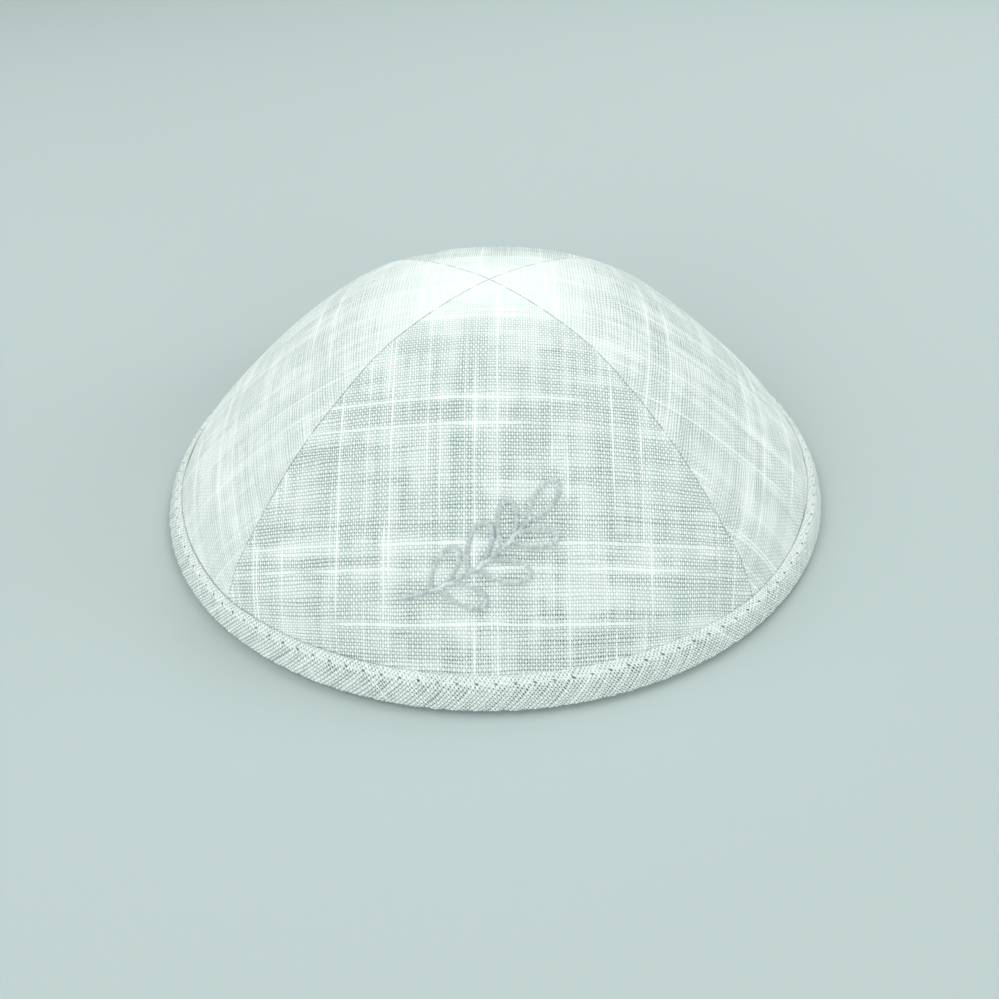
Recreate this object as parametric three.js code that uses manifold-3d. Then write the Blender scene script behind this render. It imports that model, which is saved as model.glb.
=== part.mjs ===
// A four-panel skullcap (kippah) in slubbed white linen, standing on its rim as it does on a table.
//
// Four cloth panels meet along four seams that rise from the rim to the apex. A bias strip is folded round the
// rim and closes the raw edge, and a sprig in satin stitch stands in relief on the front panel. The cap is hollow.
//
// Millimetres. +Z is up, the table is Z = 0, and the wearer's front is -Y. The origin is on the table, under the apex.
// Azimuths are measured about Z from +X, so the front panel's middle is at -90 degrees and the seams lie between.

import * as THREE from "three";
import { mergeVertices } from "three/addons/utils/BufferGeometryUtils.js";
import Module from "manifold-3d";

const wasm = await Module();
wasm.setup();

// Driving sizes of the crown: the cloth's outer face, carried down to the table.
const crownHalfWidth = 83.0; // side to side
const crownHalfLength = 83.0; // front to back
const crownHeight = 54.5; // table to apex
const clothWall = 1.0; // linen with its stiff backing
const seamGap = 0.3; // between neighbouring panels

// Driving sizes of the rim binding.
const bindingRise = 7.6; // height of its folded upper edge above the table
const bindingWall = 0.9; // one leg of the folded strip
const bindingPuff = 0.2; // how far its face swells below the stitching
const bindingEase = 0.3; // clearance between the strip and the cloth it holds
const bindingRound = 0.6; // rounding of its foot, each side of the flat that stands on the table

// Driving sizes of the satin-stitched sprig.
const sprigWidth = 34.0; // from the stem's cut end to the tip of the last leaf
const sprigRise = 26.0; // height of its centre above the table
const sprigTilt = THREE.MathUtils.degToRad(32); // how steeply the stem climbs
const stemBow = 3.0; // how far the stem sags between its ends
const leafLength = 10.6;
const leafBreadth = 4.4; // between the stitched lines' centres
const leafTaper = 0.18; // how much fuller a leaf is past its middle than before it, as a share
const leafSplay = THREE.MathUtils.degToRad(42); // between a leaf and the stem
const cordWidth = 1.2; // one line of satin stitch
const cordHeight = 0.7;
const cordLift = 0.3; // clearance under the stitches

// Mesh steps.
const stepsAcrossPanel = 18;
const stepsUpPanel = 20;
const stemSteps = 20;
const leafSteps = 16;
const halvings = 40; // of a range, in a search for a point on the crown
const mergeDistance = 1e-4; // vertices closer than this are one
const probe = 1e-3; // small share of a way, for the slope of a curve
const clothProbe = 0.5; // small length on the cloth, for its slope

// The crown's shape from the apex down to the table. height is a share of crownHeight, seam a share of the
// crown's half width or length along the seams, and square how far the section has gone from a circle (0)
// to a straight-sided square (1), because each panel stays flatter than the seams beside it.
const crownRows = [
  { height: 1.0, seam: 0.0, square: 0.43 },
  { height: 0.99, seam: 0.115, square: 0.44 },
  { height: 0.96, seam: 0.248, square: 0.44 },
  { height: 0.9, seam: 0.393, square: 0.46 },
  { height: 0.8, seam: 0.52, square: 0.5 },
  { height: 0.66, seam: 0.662, square: 0.51 },
  { height: 0.52, seam: 0.77, square: 0.46 },
  { height: 0.38, seam: 0.86, square: 0.39 },
  { height: 0.26, seam: 0.928, square: 0.33 },
  { height: 0.12, seam: 0.976, square: 0.22 },
  { height: 0.0, seam: 1.0, square: 0.0 },
];

// The binding's section, from the foot's outer corner up over the fold, down into the pocket that holds the
// cloth, and back down its inner leg. rise is a share of bindingRise. face names the surface the point lies on.
const bindingSection = [
  { rise: 0.0, face: "outer", inset: 1 },
  { rise: 0.1, face: "outer", inset: 0 },
  { rise: 0.36, face: "puff", inset: 0 },
  { rise: 0.72, face: "outer", inset: 0 },
  { rise: 0.92, face: "outer", inset: 0 },
  { rise: 1.0, face: "outerFold", inset: 0 },
  { rise: 0.94, face: "pocketOuter", inset: 0 },
  { rise: 0.5, face: "pocketOuter", inset: 0 },
  { rise: bindingWall / bindingRise, face: "pocketOuter", inset: 0 },
  { rise: bindingWall / bindingRise, face: "pocketInner", inset: 0 },
  { rise: 0.5, face: "pocketInner", inset: 0 },
  { rise: 0.94, face: "pocketInner", inset: 0 },
  { rise: 1.0, face: "innerFold", inset: 0 },
  { rise: 0.92, face: "inner", inset: 0 },
  { rise: 0.5, face: "inner", inset: 0 },
  { rise: 0.1, face: "inner", inset: 0 },
  { rise: 0.0, face: "inner", inset: -1 },
];

// The sprig's leaves. along is a share of the stem, side its side of the stem (0 for the last leaf, which
// carries the stem on), and size a share of leafLength and leafBreadth.
const sprigLeaves = [
  { along: 0.2, side: 1, size: 0.92 },
  { along: 0.26, side: -1, size: 0.92 },
  { along: 0.48, side: 1, size: 1.0 },
  { along: 0.54, side: -1, size: 1.0 },
  { along: 0.76, side: 1, size: 0.88 },
  { along: 0.82, side: -1, size: 0.88 },
  { along: 1.0, side: 0, size: 0.9 },
];

const quarterTurn = Math.PI / 2;
const panelNames = ["right", "back", "left", "front"]; // in order of azimuth, as seen from the front
const frontAzimuth = -quarterTurn;

// How far each panel stands off the axis, along its own middle, so that each seam opens by seamGap.
const panelSetOut = seamGap / Math.SQRT2;

// The seam profile from one side over the apex to the other, so that it is level at the apex.
const profilePoint = (row, side) =>
  new THREE.Vector3(side * row.seam, row.height, row.square);
const crownProfile = new THREE.CatmullRomCurve3([
  ...crownRows.slice(1).reverse().map((row) => profilePoint(row, -1)),
  ...crownRows.map((row) => profilePoint(row, 1)),
]);

// The profile at a share of the way down from the apex (0) to the table (1).
function profileAt(down) {
  const p = crownProfile.getPoint(0.5 + down / 2);
  return { seam: Math.max(p.x, 0), height: p.y, square: p.z };
}

// The share of the way down at which the crown has a height above the table.
function downAtHeight(z) {
  let low = 0;
  let high = 1;
  for (let i = 0; i < halvings; i++) {
    const middle = (low + high) / 2;
    if (profileAt(middle).height * crownHeight > z) low = middle;
    else high = middle;
  }
  return (low + high) / 2;
}

// A point of the crown's outer face.
function crownPoint(azimuth, down) {
  const { seam, height, square } = profileAt(down);
  const halfPanel = quarterTurn / 2;
  const fromMiddle = azimuth - quarterTurn * Math.round(azimuth / quarterTurn);
  const flatter = Math.cos(square * halfPanel) / Math.cos(square * fromMiddle);
  return new THREE.Vector3(
    crownHalfWidth * seam * flatter * Math.cos(azimuth),
    crownHalfLength * seam * flatter * Math.sin(azimuth),
    crownHeight * height,
  );
}

// The outward direction in the upright plane through the axis, as long as it takes to move a face by 1 mm.
// An offset along it keeps its azimuth, so the wall's ends stay in the seams' planes.
function offsetDirection(azimuth, down) {
  if (down === 0) return new THREE.Vector3(0, 0, 1); // level at the apex
  const radial = new THREE.Vector3(Math.cos(azimuth), Math.sin(azimuth), 0);
  const above = crownPoint(azimuth, Math.max(down - probe, 0));
  const below = crownPoint(azimuth, Math.min(down + probe, 1));
  const slope = below.clone().sub(above);
  const run = slope.dot(radial);
  const drop = -slope.z;
  const length = Math.hypot(run, drop);
  return radial.multiplyScalar(drop / length).setZ(run / length);
}

// A BufferGeometry of triangles, each three indices into the vertices, with vertices in one place merged.
function gridGeometry(vertices, triangles) {
  const geometry = new THREE.BufferGeometry();
  geometry.setAttribute(
    "position",
    new THREE.Float32BufferAttribute(vertices.flatMap((v) => v.toArray()), 3),
  );
  geometry.setIndex(triangles.flat());
  return withoutFlatFaces(mergeVertices(geometry, mergeDistance));
}

// Drops the triangles that merging has flattened to a line, as at a panel's tip.
function withoutFlatFaces(geometry) {
  const index = geometry.index.array;
  const kept = [];
  for (let i = 0; i < index.length; i += 3) {
    const [a, b, c] = [index[i], index[i + 1], index[i + 2]];
    if (a !== b && b !== c && c !== a) kept.push(a, b, c);
  }
  geometry.setIndex(kept);
  return geometry;
}

// Sections joined into a solid. Each is a closed polygon with the same count of points, which run anticlockwise
// seen from the next section. A ring joins its last section to its first, and an open sweep is capped at both ends.
function sweptGeometry(sections, isRing) {
  const count = sections[0].length;
  const vertices = sections.flat();
  const triangles = [];
  const spans = isRing ? sections.length : sections.length - 1;
  for (let i = 0; i < spans; i++) {
    const here = i * count;
    const next = ((i + 1) % sections.length) * count;
    for (let j = 0; j < count; j++) {
      const k = (j + 1) % count;
      triangles.push([here + j, here + k, next + k], [here + j, next + k, next + j]);
    }
  }
  if (!isRing) {
    const last = (sections.length - 1) * count;
    for (let j = 1; j < count - 1; j++) {
      triangles.push([0, j + 1, j], [last, last + j, last + j + 1]);
    }
  }
  return gridGeometry(vertices, triangles);
}

// One panel: a curved three-cornered wall from the apex to the pocket of the binding. Each section is a
// strip across the wall from seam to seam: along the outer face one way and back along the inner face.
function panelGeometry(middleAzimuth) {
  // The wall's inner edge reaches lower than its outer edge, by less than its thickness.
  const foot = downAtHeight(bindingWall + bindingEase + clothWall);
  const sections = [];
  for (let i = 0; i <= stepsUpPanel; i++) {
    const down = (foot * i) / stepsUpPanel;
    const outer = [];
    const inner = [];
    for (let j = 0; j <= stepsAcrossPanel; j++) {
      const azimuth = middleAzimuth + quarterTurn * (j / stepsAcrossPanel - 0.5);
      const onFace = crownPoint(azimuth, down);
      outer.push(onFace);
      inner.push(onFace.clone().addScaledVector(offsetDirection(azimuth, down), -clothWall));
    }
    sections.push([...outer, ...inner.reverse()]);
  }
  return panelSolid(sections);
}

// Joins a panel's strips. The first has shrunk to the upright edge at the apex, and the last is its foot.
function panelSolid(sections) {
  const count = sections[0].length;
  const half = count / 2;
  const triangles = [];
  for (let i = 0; i < sections.length - 1; i++) {
    const here = i * count;
    const next = here + count;
    for (let j = 0; j < count; j++) {
      const k = (j + 1) % count;
      triangles.push([here + j, next + j, next + k], [here + j, next + k, here + k]);
    }
  }
  const foot = (sections.length - 1) * count;
  for (let j = 0; j < half - 1; j++) {
    const outer = foot + j;
    const inner = foot + count - 1 - j;
    triangles.push([outer, inner, inner - 1], [outer, inner - 1, outer + 1]);
  }
  return gridGeometry(sections.flat(), triangles);
}

// The faces that the binding's section points lie on, as offsets from the crown's outer face.
const bindingFaces = {
  pocketOuter: panelSetOut + bindingEase,
  pocketInner: -(clothWall + bindingEase),
};
bindingFaces.outer = bindingFaces.pocketOuter + bindingWall;
bindingFaces.puff = bindingFaces.outer + bindingPuff;
bindingFaces.outerFold = bindingFaces.pocketOuter + bindingWall / 2;
bindingFaces.innerFold = bindingFaces.pocketInner - bindingWall / 2;
bindingFaces.inner = bindingFaces.pocketInner - bindingWall;

// The binding: the folded strip's section carried round the rim. Its faces are set off level with the table,
// by as much as makes them stand at their offset square to the sloping cloth.
function bindingGeometry() {
  const stepsRound = 4 * stepsAcrossPanel;
  const sections = [];
  for (let i = 0; i < stepsRound; i++) {
    const azimuth = quarterTurn / 2 - (4 * quarterTurn * i) / stepsRound;
    const outward = new THREE.Vector3(Math.cos(azimuth), Math.sin(azimuth), 0);
    sections.push(
      bindingSection.map(({ rise, face, inset }) => {
        const down = downAtHeight(rise * bindingRise);
        const steepness = offsetDirection(azimuth, down).dot(outward);
        const setOff = bindingFaces[face] / steepness - inset * bindingRound;
        return crownPoint(azimuth, down).addScaledVector(outward, setOff);
      }),
    );
  }
  return sweptGeometry(sections, true);
}

// Where the front panel's middle line has a height, with the directions across, up the cloth and out of it.
function frontFrame(height) {
  const down = downAtHeight(height);
  const origin = crownPoint(frontAzimuth, down);
  const out = offsetDirection(frontAzimuth, down).normalize();
  const across = new THREE.Vector3(1, 0, 0);
  return { origin, out, across, up: out.clone().cross(across) };
}

// How far a point lies outside the crown, measured level with the table, below zero inside it.
function outsideCrown(point) {
  const azimuth = Math.atan2(point.y / crownHalfLength, point.x / crownHalfWidth);
  const onFace = crownPoint(azimuth, downAtHeight(point.z));
  return Math.hypot(point.x, point.y) - Math.hypot(onFace.x, onFace.y);
}

// Carries a drawn point (across, up) straight back onto the crown, and gives the cloth's direction there.
function ontoCrown(frame, across, up) {
  const drawn = frame.origin
    .clone()
    .addScaledVector(frame.across, across)
    .addScaledVector(frame.up, up);
  let near = -crownHeight / 2;
  let far = clothWall;
  for (let i = 0; i < halvings; i++) {
    const middle = (near + far) / 2;
    const tried = drawn.clone().addScaledVector(frame.out, middle);
    if (outsideCrown(tried) > 0) far = middle;
    else near = middle;
  }
  return drawn.addScaledVector(frame.out, (near + far) / 2);
}

// The crown's outward normal under a drawn point.
function normalUnder(frame, across, up) {
  const alongAcross = ontoCrown(frame, across + clothProbe, up).sub(
    ontoCrown(frame, across - clothProbe, up),
  );
  const alongUp = ontoCrown(frame, across, up + clothProbe).sub(
    ontoCrown(frame, across, up - clothProbe),
  );
  return alongAcross.cross(alongUp).normalize();
}

// The stem: an arc that sags between its ends, drawn flat as (across, up) about the sprig's centre.
function stemPoint(share) {
  const stemLength = sprigWidth / Math.cos(sprigTilt) - leafLength * lastLeafSize();
  const along = (share - 0.5) * stemLength - (leafLength * lastLeafSize()) / 2;
  const sag = -stemBow * (1 - (2 * share - 1) ** 2);
  return new THREE.Vector2(along, sag).rotateAround(new THREE.Vector2(), sprigTilt);
}

function lastLeafSize() {
  return sprigLeaves[sprigLeaves.length - 1].size;
}

// The stem's drawn direction, as an angle.
function stemDirection(share) {
  return stemPoint(share + probe).sub(stemPoint(share - probe)).angle();
}

// One leaf: an open loop that starts at its stalk, narrow there and at its tip.
function leafPoint(leaf, turn) {
  const length = leafLength * leaf.size;
  const along = (length * (1 - Math.cos(turn))) / 2;
  const fullest = 1 - leafTaper * Math.cos(turn);
  const aside = (leafBreadth * leaf.size * Math.sin(turn) * fullest) / 2;
  const heading = stemDirection(leaf.along) + leaf.side * leafSplay;
  return new THREE.Vector2(along, aside)
    .rotateAround(new THREE.Vector2(), heading)
    .add(stemPoint(leaf.along));
}

// The satin line's section, flat underneath and crowned above. across is a share of cordWidth, up of cordHeight.
const cordSection = [
  { across: 0.5, up: 0.0 },
  { across: 0.4, up: 0.6 },
  { across: 0.0, up: 1.0 },
  { across: -0.4, up: 0.6 },
  { across: -0.5, up: 0.0 },
];

// A raised line of stitches along drawn points, laid on the crown.
function cordGeometry(frame, drawn, isRing) {
  const laid = drawn.map((p) => ontoCrown(frame, p.x, p.y));
  const sections = laid.map((point, i) => {
    const before = laid[isRing ? (i - 1 + laid.length) % laid.length : Math.max(i - 1, 0)];
    const after = laid[isRing ? (i + 1) % laid.length : Math.min(i + 1, laid.length - 1)];
    const out = normalUnder(frame, drawn[i].x, drawn[i].y);
    const aside = out.clone().cross(after.clone().sub(before)).normalize();
    return cordSection.map(({ across, up }) =>
      point
        .clone()
        .addScaledVector(aside, across * cordWidth)
        .addScaledVector(out, up * cordHeight + cordLift),
    );
  });
  return sweptGeometry(sections, isRing);
}

// The same shape as a manifold-3d solid.
function solidOf(geometry) {
  return new wasm.Manifold(
    new wasm.Mesh({
      numProp: 3,
      vertProperties: new Float32Array(geometry.attributes.position.array),
      triVerts: new Uint32Array(geometry.index.array),
    }),
  );
}

function geometryOf(solid) {
  const { vertProperties, triVerts } = solid.getMesh();
  const geometry = new THREE.BufferGeometry();
  geometry.setAttribute("position", new THREE.BufferAttribute(vertProperties, 3));
  geometry.setIndex(new THREE.BufferAttribute(triVerts, 1));
  return geometry;
}

// The sprig: its stem and leaves, joined into one raised line.
function sprigGeometry() {
  const frame = frontFrame(sprigRise);
  const stem = Array.from({ length: stemSteps + 1 }, (_, i) => stemPoint(i / stemSteps));
  let sprig = solidOf(cordGeometry(frame, stem, false));
  for (const leaf of sprigLeaves) {
    const loop = Array.from({ length: leafSteps }, (_, i) =>
      leafPoint(leaf, (4 * quarterTurn * i) / leafSteps),
    );
    sprig = sprig.add(solidOf(cordGeometry(frame, loop, true)));
  }
  return geometryOf(sprig);
}

const linen = new THREE.MeshStandardMaterial({ color: 0xeef4f0, roughness: 0.95, metalness: 0 });
const biasLinen = new THREE.MeshStandardMaterial({ color: 0xe8efeb, roughness: 0.95, metalness: 0 });
const satinThread = new THREE.MeshStandardMaterial({ color: 0xc9d3d2, roughness: 0.5, metalness: 0 });

function namedMesh(name, geometry, material) {
  geometry.computeVertexNormals();
  const mesh = new THREE.Mesh(geometry, material);
  mesh.name = name;
  return mesh;
}

const cap = new THREE.Group();
panelNames.forEach((side, i) => {
  const middle = quarterTurn * i;
  const panel = namedMesh(`panel_${side}`, panelGeometry(middle), linen);
  panel.position.set(Math.cos(middle), Math.sin(middle), 0).multiplyScalar(panelSetOut);
  cap.add(panel);
});
cap.add(namedMesh("rim_binding", bindingGeometry(), biasLinen));

const sprig = namedMesh("embroidered_sprig", sprigGeometry(), satinThread);
sprig.position.set(0, -panelSetOut, 0);
cap.add(sprig);

export default cap;
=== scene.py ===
"""Dresses the four-panel linen skullcap: woven panels, bias binding, topstitching and a sprig in satin stitch.

Everything is in metres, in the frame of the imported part: the table is Z = 0, the wearer's front is -Y, and
azimuths are measured about Z from +X.
"""

import logging
import math
from collections.abc import Mapping, Sequence
from dataclasses import dataclass, field, fields, replace
from enum import Enum
from typing import Any

import bmesh
import bpy
import numpy as np
from mathutils import Matrix, Vector


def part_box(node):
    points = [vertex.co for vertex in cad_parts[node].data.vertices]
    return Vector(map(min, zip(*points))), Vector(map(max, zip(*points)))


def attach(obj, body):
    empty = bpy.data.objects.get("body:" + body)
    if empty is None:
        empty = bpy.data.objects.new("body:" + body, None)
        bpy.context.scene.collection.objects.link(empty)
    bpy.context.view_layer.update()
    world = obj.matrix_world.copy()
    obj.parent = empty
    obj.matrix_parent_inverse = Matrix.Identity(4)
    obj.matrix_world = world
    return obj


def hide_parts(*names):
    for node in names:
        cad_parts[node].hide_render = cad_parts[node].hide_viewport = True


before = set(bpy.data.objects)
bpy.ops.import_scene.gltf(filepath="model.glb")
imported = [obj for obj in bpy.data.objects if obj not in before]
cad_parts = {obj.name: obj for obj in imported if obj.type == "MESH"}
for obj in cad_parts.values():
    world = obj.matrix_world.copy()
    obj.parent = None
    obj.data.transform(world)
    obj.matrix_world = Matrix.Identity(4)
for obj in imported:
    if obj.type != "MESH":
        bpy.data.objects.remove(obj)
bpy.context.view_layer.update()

LOG = logging.getLogger("skullcap")
MM = 0.001
QUARTER_TURN = math.pi / 2
FULL_TURN = 2 * math.pi
ROOT = "root"
CLOTH_MAP = "cloth"  # metres across and along the grain
EDGE_MAP = "edge"  # metres from the nearest seam, and along it from the apex
OUT_ATTRIBUTE = "out"
SHADE_ATTRIBUTE = "shade"
WARP_SEED = 11.0
WEFT_SEED = 57.0
WANDER_SEED = 41.0
BAND_SEED = 9.0
SEAM_SEED = 7.0
SLUB_STRIDE = 3.7  # so far apart in the noise that neighbouring threads come out unlike
SWELL_STRIDE = 5.3
WANDER_DETAIL = 2.0
TINY = 1e-6
SHEEN_ROUGHNESS = 0.6
SPECULAR = 0.25

Array = np.ndarray


class Side(Enum):
    """The four panels, each by the azimuth of its middle in quarter turns."""

    RIGHT = 0
    BACK = 1
    LEFT = 2
    FRONT = 3

    @property
    def azimuth(self) -> float:
        """The azimuth of the panel's middle."""
        return self.value * QUARTER_TURN

    @property
    def node(self) -> str:
        """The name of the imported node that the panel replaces."""
        return f"panel_{self.name.lower()}"


class Slot(Enum):
    """The record's material slots."""

    LINEN = "linen"
    BIAS_LINEN = "bias_linen"
    SATIN_THREAD = "satin_thread"


def find_socket(sockets: Any, key: str | int) -> bpy.types.NodeSocket:
    """A node's socket.

    Args:
        sockets: the node's inputs or outputs.
        key: the socket's index, identifier or name.

    Returns:
        The socket.
    """
    if isinstance(key, int):
        return sockets[key]
    named = [s for s in sockets if s.identifier == key] or [s for s in sockets if s.name == key]
    return named[0]


class NodeTree:
    """A node tree under construction."""

    def __init__(self, tree: bpy.types.NodeTree) -> None:
        """Takes the tree that the nodes go into."""
        self.tree = tree

    def node(
        self, kind: str, settings: Mapping[str, Any], inputs: Mapping[str | int, Any]
    ) -> bpy.types.Node:
        """Adds one node.

        Args:
            kind: the node's type.
            settings: its properties, which are set first.
            inputs: by socket name, identifier or index, the value or the link of each input.

        Returns:
            The node.
        """
        node = self.tree.nodes.new(kind)
        for key, value in settings.items():
            setattr(node, key, value)
        for key, value in inputs.items():
            socket = find_socket(node.inputs, key)
            source = value.socket if isinstance(value, Number) else value
            if isinstance(source, bpy.types.NodeSocket):
                self.tree.links.new(source, socket)
            else:
                socket.default_value = source
        return node

    def value_of(self, node: bpy.types.Node, key: str | int = 0) -> "Number":
        """One output of a node as a number."""
        return Number(self, find_socket(node.outputs, key))


class Number:
    """A number in a node tree. Python's operators on it add Math nodes."""

    def __init__(self, tree: NodeTree, socket: bpy.types.NodeSocket) -> None:
        """Wraps an output.

        Args:
            tree: the tree that the output belongs to.
            socket: the output.
        """
        self.tree = tree
        self.socket = socket

    def math(self, operation: str, *values: "Number | float") -> "Number":
        """Adds one Math node.

        Args:
            operation: the node's operation.
            values: its inputs, in order.

        Returns:
            Its result.
        """
        node = self.tree.node("ShaderNodeMath", {"operation": operation}, dict(enumerate(values)))
        return self.tree.value_of(node)

    def __add__(self, other: "Number | float") -> "Number":
        """self + other."""
        return self.math("ADD", self, other)

    def __radd__(self, other: float) -> "Number":
        """other + self."""
        return self.math("ADD", other, self)

    def __sub__(self, other: "Number | float") -> "Number":
        """self - other."""
        return self.math("SUBTRACT", self, other)

    def __rsub__(self, other: float) -> "Number":
        """other - self."""
        return self.math("SUBTRACT", other, self)

    def __mul__(self, other: "Number | float") -> "Number":
        """self * other."""
        return self.math("MULTIPLY", self, other)

    def __rmul__(self, other: float) -> "Number":
        """other * self."""
        return self.math("MULTIPLY", other, self)

    def __truediv__(self, other: "Number | float") -> "Number":
        """self / other."""
        return self.math("DIVIDE", self, other)

    def floor(self) -> "Number":
        """The whole number below."""
        return self.math("FLOOR", self)

    def abs(self) -> "Number":
        """The size without its sign."""
        return self.math("ABSOLUTE", self)

    def root(self) -> "Number":
        """The square root."""
        return self.math("SQRT", self)

    def cosine(self) -> "Number":
        """The cosine of an angle in radians."""
        return self.math("COSINE", self)

    def highest(self, other: "Number | float") -> "Number":
        """The larger of two."""
        return self.math("MAXIMUM", self, other)

    def lowest(self, other: "Number | float") -> "Number":
        """The smaller of two."""
        return self.math("MINIMUM", self, other)

    def nearest(self) -> "Number":
        """The nearest whole number."""
        return (self + 0.5).floor()

    def at_least(self, least: float) -> "Number":
        """A share from 0 to 1, drawn together so that it starts at a least value."""
        return least + (1.0 - least) * self

    def step(self, start: float, end: float) -> "Number":
        """A smooth step.

        Args:
            start: the value at which the result is 0.
            end: the value at which it is 1.

        Returns:
            The share of the way from start to end, eased at both.
        """
        node = self.tree.node(
            "ShaderNodeMapRange",
            {"interpolation_type": "SMOOTHSTEP"},
            {"Value": self, "From Min": start, "From Max": end},
        )
        return self.tree.value_of(node)


class ShaderTree(NodeTree):
    """A material under construction."""

    def __init__(self, name: str) -> None:
        """Makes an empty material.

        Args:
            name: the material's name.
        """
        self.material = bpy.data.materials.new(name)
        self.material.use_nodes = True
        super().__init__(self.material.node_tree)
        self.tree.nodes.clear()

    def map_axes(self, name: str) -> tuple[Number, Number]:
        """Reads one of the piece's own UV maps.

        Args:
            name: the map's name.

        Returns:
            Its two coordinates.
        """
        uv = self.node("ShaderNodeUVMap", {"uv_map": name}, {})
        axes = self.node("ShaderNodeSeparateXYZ", {}, {0: uv.outputs[0]})
        return self.value_of(axes, 0), self.value_of(axes, 1)

    def noise(self, x: Number | float, y: Number | float, detail: float = 1.0) -> Number:
        """Smooth noise over a plane, with cells about one unit wide.

        Args:
            x: the first coordinate.
            y: the second coordinate.
            detail: the number of finer layers.

        Returns:
            Noise about 0.5.
        """
        place = self.node("ShaderNodeCombineXYZ", {}, {0: x, 1: y})
        noise = self.node(
            "ShaderNodeTexNoise",
            {"noise_dimensions": "2D"},
            {"Vector": place.outputs[0], "Scale": 1.0, "Detail": detail},
        )
        return self.value_of(noise)

    def chance(self, number: Number) -> Number:
        """A random value from 0 to 1 that stays the same for each whole number."""
        return self.value_of(self.node("ShaderNodeTexWhiteNoise", {"noise_dimensions": "1D"}, {"W": number}))

    def blend(self, share: Number, first: Any, second: Any) -> bpy.types.NodeSocket:
        """Mixes two colours.

        Args:
            share: how much of the second there is.
            first: the colour, or its link, at 0.
            second: the colour, or its link, at 1.

        Returns:
            The mixed colour's output.
        """
        mix = self.node(
            "ShaderNodeMix",
            {"data_type": "RGBA"},
            {"Factor_Float": share, "A_Color": first, "B_Color": second},
        )
        return find_socket(mix.outputs, "Result_Color")

    def finish(
        self, colour: Any, roughness: float, relief: Number | None, sheen: float
    ) -> bpy.types.Material:
        """Closes the tree with its shader.

        Args:
            colour: the base colour or its link.
            roughness: the same all over.
            relief: the surface's height in metres, or None where it is smooth.
            sheen: how much the fibres' tips catch the light, the same all over.

        Returns:
            The material.
        """
        inputs = {
            "Base Color": colour,
            "Roughness": roughness,
            "Sheen Weight": sheen,
            "Sheen Roughness": SHEEN_ROUGHNESS,
            "Specular IOR Level": SPECULAR,
        }
        if relief is not None:
            bump = self.node("ShaderNodeBump", {}, {"Height": relief, "Strength": 1.0, "Distance": 1.0})
            inputs["Normal"] = bump.outputs[0]
        shader = self.node("ShaderNodeBsdfPrincipled", {}, inputs)
        self.node("ShaderNodeOutputMaterial", {}, {"Surface": shader.outputs[0]})
        return self.material


def rgba(red: int, green: int, blue: int) -> tuple[float, float, float, float]:
    """A colour from its 8-bit screen values, as the linear light that a shader takes."""
    linear = [((c / 255 + 0.055) / 1.055) ** 2.4 if c > 10 else c / 255 / 12.92 for c in (red, green, blue)]
    return (*linear, 1.0)


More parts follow.
